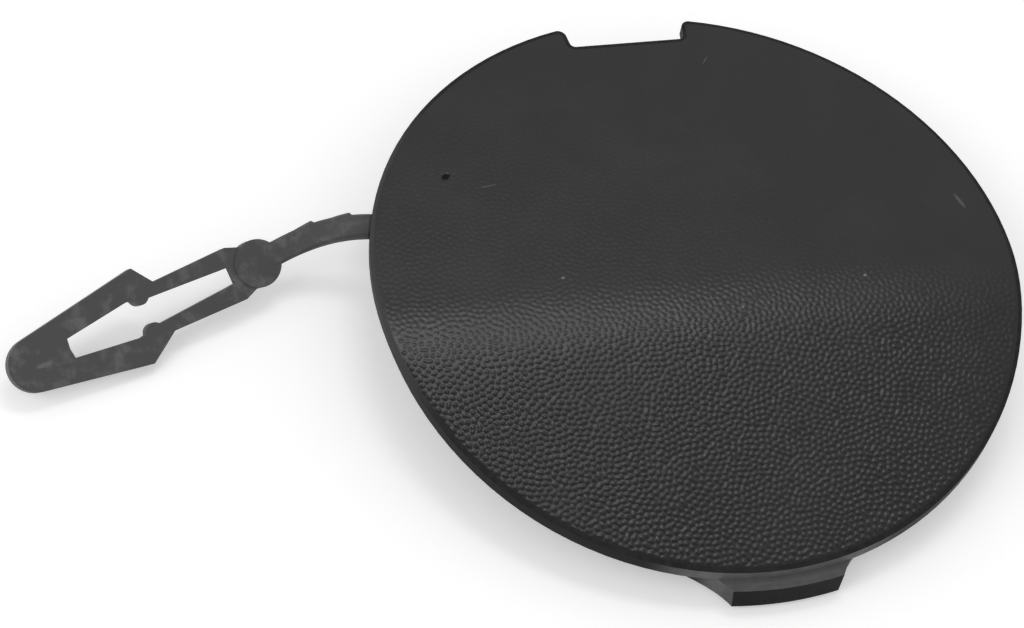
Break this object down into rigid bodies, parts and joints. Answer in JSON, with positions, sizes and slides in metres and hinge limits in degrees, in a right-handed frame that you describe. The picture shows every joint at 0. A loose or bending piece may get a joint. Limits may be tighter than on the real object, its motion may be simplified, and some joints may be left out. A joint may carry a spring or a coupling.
{
  "type": "tow eye cover",
  "caption": "Round, slightly bent plastic cover with a pry notch, a locating lug, a rear skirt and a tether strap that ends in an arrowhead clip.",
  "frame": {"origin": "on the cover's axis, in the plane of the skirt's lower edge", "axes": "+Z out of the upper half of the face, -Y towards the locating lug, -X towards the tether"},
  "size_m": [0.132, 0.087, 0.011],
  "materials": {
    "black_plastic": "moulded satin black with fine pebble grain on the face"
  },
  "bodies": {
    "root": {"cover": "black_plastic"}
  },
  "joints": []
}
